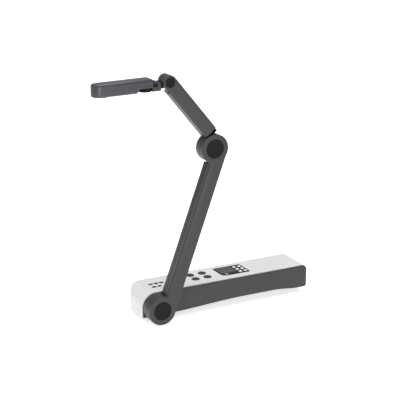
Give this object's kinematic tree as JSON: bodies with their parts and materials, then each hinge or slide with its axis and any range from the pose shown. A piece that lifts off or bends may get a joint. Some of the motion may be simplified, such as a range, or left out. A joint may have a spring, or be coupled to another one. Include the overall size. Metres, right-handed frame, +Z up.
{
  "type": "book scanner",
  "caption": "Overhead book scanner: a camera head on a folding arm over a long weighted base with a display, spring-back keys and rear sockets.",
  "frame": {"origin": "on the table, under the middle of the shoulder hinge, at the centre of the drum foot's underside", "axes": "+X along the base away from the hinge, +Z up, -Y towards the side that carries the arm and the control panel's front edge"},
  "size_m": [0.3869, 0.0894, 0.3975],
  "materials": {
    "white_plastic": "fine satin texture",
    "grey_plastic": "fine satin texture",
    "dark_grey_plastic": "satin",
    "black_plastic": "smooth",
    "head_plastic": "metallic grey lacquer",
    "rubber": "matte",
    "steel": "zinc plated",
    "board": "solder resist",
    "glass": "coated lens",
    "lamp_lens": "frosted"
  },
  "bodies": {
    "base": {"base_top_cover": "white_plastic", "front_side_panel": "grey_plastic", "base_bottom_tray": "grey_plastic", "ballast_plate": "steel", "ballast_screw_1": "steel", "ballast_screw_2": "steel", "main_board": "board", "left_foot": "rubber", "right_foot": "rubber", "drum_foot": "rubber", "shoulder_drum": "grey_plastic", "shoulder_pin": "steel", "shoulder_friction_washer": "black_plastic", "shoulder_nut": "steel", "display_panel": "black_plastic", "usb_socket": "steel", "power_socket": "steel"},
    "lower_arm": {"lower_arm_front_shell": "grey_plastic", "lower_arm_rear_cover": "grey_plastic", "lower_arm_spine": "steel", "lower_arm_flat_cable": "black_plastic", "shoulder_cap": "dark_grey_plastic", "elbow_cap": "dark_grey_plastic"},
    "upper_arm": {"upper_arm_front_shell": "grey_plastic", "upper_arm_rear_cover": "grey_plastic", "upper_arm_spine": "steel", "upper_arm_flat_cable": "black_plastic", "wrist_cap": "dark_grey_plastic", "elbow_pin": "steel", "elbow_friction_washer": "black_plastic", "elbow_nut": "steel", "fold_bumper": "rubber"},
    "wrist": {"wrist_knuckle": "grey_plastic", "wrist_pin": "steel", "wrist_nut": "steel", "swivel_plate": "black_plastic", "swivel_pin": "steel", "swivel_nut": "steel"},
    "head": {"head_top_shell": "head_plastic", "head_bottom_shell": "head_plastic", "lens_bezel": "black_plastic", "lens_glass": "glass", "lamp_window": "lamp_lens", "camera_module": "black_plastic"},
    "round_key_1": {"round_key_1": "dark_grey_plastic"},
    "round_key_2": {"round_key_2": "dark_grey_plastic"},
    "round_key_3": {"round_key_3": "dark_grey_plastic"},
    "round_key_4": {"round_key_4": "dark_grey_plastic"},
    "small_key_1": {"small_key_1": "dark_grey_plastic"},
    "small_key_2": {"small_key_2": "dark_grey_plastic"},
    "small_key_3": {"small_key_3": "dark_grey_plastic"},
    "small_key_4": {"small_key_4": "dark_grey_plastic"},
    "small_key_5": {"small_key_5": "dark_grey_plastic"},
    "panel_key_1": {"panel_key_1": "white_plastic"},
    "panel_key_2": {"panel_key_2": "white_plastic"},
    "panel_key_3": {"panel_key_3": "white_plastic"},
    "panel_key_4": {"panel_key_4": "white_plastic"},
    "panel_key_5": {"panel_key_5": "white_plastic"},
    "panel_key_6": {"panel_key_6": "white_plastic"}
  },
  "joints": [
    {"name": "shoulder_hinge", "type": "hinge", "parent": "base", "child": "lower_arm", "pos_m": [0, 0, 0.024], "axis": [0, 1, 0], "range_deg": [-35, 69.8]},
    {"name": "elbow_hinge", "type": "hinge", "parent": "lower_arm", "child": "upper_arm", "pos_m": [0.09206, 0, 0.2742], "axis": [0, -1, 0], "range_deg": [-59, 90]},
    {"name": "wrist_hinge", "type": "hinge", "parent": "upper_arm", "child": "wrist", "pos_m": [0.01545, -0.004, 0.38655], "axis": [0, 1, 0], "range_deg": [-36, 120]},
    {"name": "head_swivel", "type": "hinge", "parent": "wrist", "child": "head", "pos_m": [-0.02195, -0.004, 0.3805], "axis": [0, 0, 1], "range_deg": [-90, 90]},
    {"name": "round_key_1_press", "type": "slide", "parent": "base", "child": "round_key_1", "axis": [0, 0, -1], "range_m": [0, 0.0008], "stiffness_N_per_m": 400, "springref_m": -0.0005},
    {"name": "round_key_2_press", "type": "slide", "parent": "base", "child": "round_key_2", "axis": [0, 0, -1], "range_m": [0, 0.0008], "stiffness_N_per_m": 400, "springref_m": -0.0005},
    {"name": "round_key_3_press", "type": "slide", "parent": "base", "child": "round_key_3", "axis": [0, 0, -1], "range_m": [0, 0.0008], "stiffness_N_per_m": 400, "springref_m": -0.0005},
    {"name": "round_key_4_press", "type": "slide", "parent": "base", "child": "round_key_4", "axis": [0, 0, -1], "range_m": [0, 0.0008], "stiffness_N_per_m": 400, "springref_m": -0.0005},
    {"name": "small_key_1_press", "type": "slide", "parent": "base", "child": "small_key_1", "axis": [0, 0, -1], "range_m": [0, 0.0008], "stiffness_N_per_m": 400, "springref_m": -0.0005},
    {"name": "small_key_2_press", "type": "slide", "parent": "base", "child": "small_key_2", "axis": [0, 0, -1], "range_m": [0, 0.0008], "stiffness_N_per_m": 400, "springref_m": -0.0005},
    {"name": "small_key_3_press", "type": "slide", "parent": "base", "child": "small_key_3", "axis": [0, 0, -1], "range_m": [0, 0.0008], "stiffness_N_per_m": 400, "springref_m": -0.0005},
    {"name": "small_key_4_press", "type": "slide", "parent": "base", "child": "small_key_4", "axis": [0, 0, -1], "range_m": [0, 0.0008], "stiffness_N_per_m": 400, "springref_m": -0.0005},
    {"name": "small_key_5_press", "type": "slide", "parent": "base", "child": "small_key_5", "axis": [0, 0, -1], "range_m": [0, 0.0008], "stiffness_N_per_m": 400, "springref_m": -0.0005},
    {"name": "panel_key_1_press", "type": "slide", "parent": "base", "child": "panel_key_1", "axis": [0, 0, -1], "range_m": [0, 0.0008], "stiffness_N_per_m": 400, "springref_m": -0.0005},
    {"name": "panel_key_2_press", "type": "slide", "parent": "base", "child": "panel_key_2", "axis": [0, 0, -1], "range_m": [0, 0.0008], "stiffness_N_per_m": 400, "springref_m": -0.0005},
    {"name": "panel_key_3_press", "type": "slide", "parent": "base", "child": "panel_key_3", "axis": [0, 0, -1], "range_m": [0, 0.0008], "stiffness_N_per_m": 400, "springref_m": -0.0005},
    {"name": "panel_key_4_press", "type": "slide", "parent": "base", "child": "panel_key_4", "axis": [0, 0, -1], "range_m": [0, 0.0008], "stiffness_N_per_m": 400, "springref_m": -0.0005},
    {"name": "panel_key_5_press", "type": "slide", "parent": "base", "child": "panel_key_5", "axis": [0, 0, -1], "range_m": [0, 0.0008], "stiffness_N_per_m": 400, "springref_m": -0.0005},
    {"name": "panel_key_6_press", "type": "slide", "parent": "base", "child": "panel_key_6", "axis": [0, 0, -1], "range_m": [0, 0.0008], "stiffness_N_per_m": 400, "springref_m": -0.0005}
  ]
}
